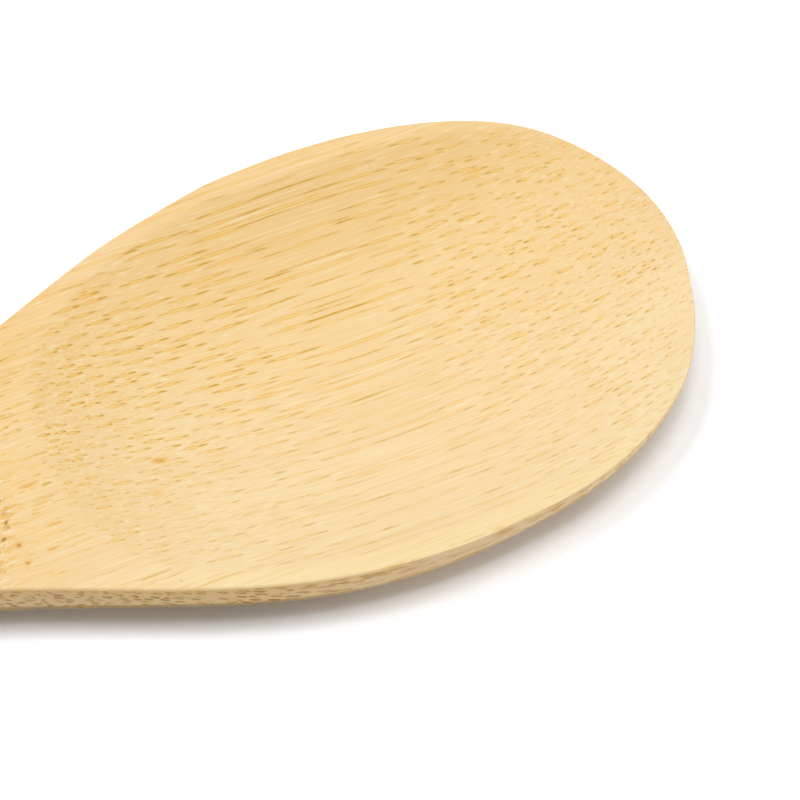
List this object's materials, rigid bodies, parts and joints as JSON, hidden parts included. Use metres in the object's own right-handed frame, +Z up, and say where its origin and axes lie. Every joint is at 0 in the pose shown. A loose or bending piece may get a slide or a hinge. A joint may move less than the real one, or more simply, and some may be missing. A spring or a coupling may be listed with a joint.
{
  "type": "cooking spoon",
  "caption": "One-piece bamboo cooking spoon: oval bowl with a shallow dish and flat rim, rounded underside, and a long straight handle with a hanging hole.",
  "frame": {"origin": "on the surface the spoon rests on, under the middle of its overall length and width", "axes": "+X along the spoon from the handle to the tip of the bowl, +Z up out of the dish, +Y to the left seen from the handle"},
  "size_m": [0.3, 0.062, 0.0111],
  "materials": {
    "bamboo": "sanded, unvarnished, lightly oiled satin"
  },
  "bodies": {
    "root": {"spoon": "bamboo"}
  },
  "joints": []
}
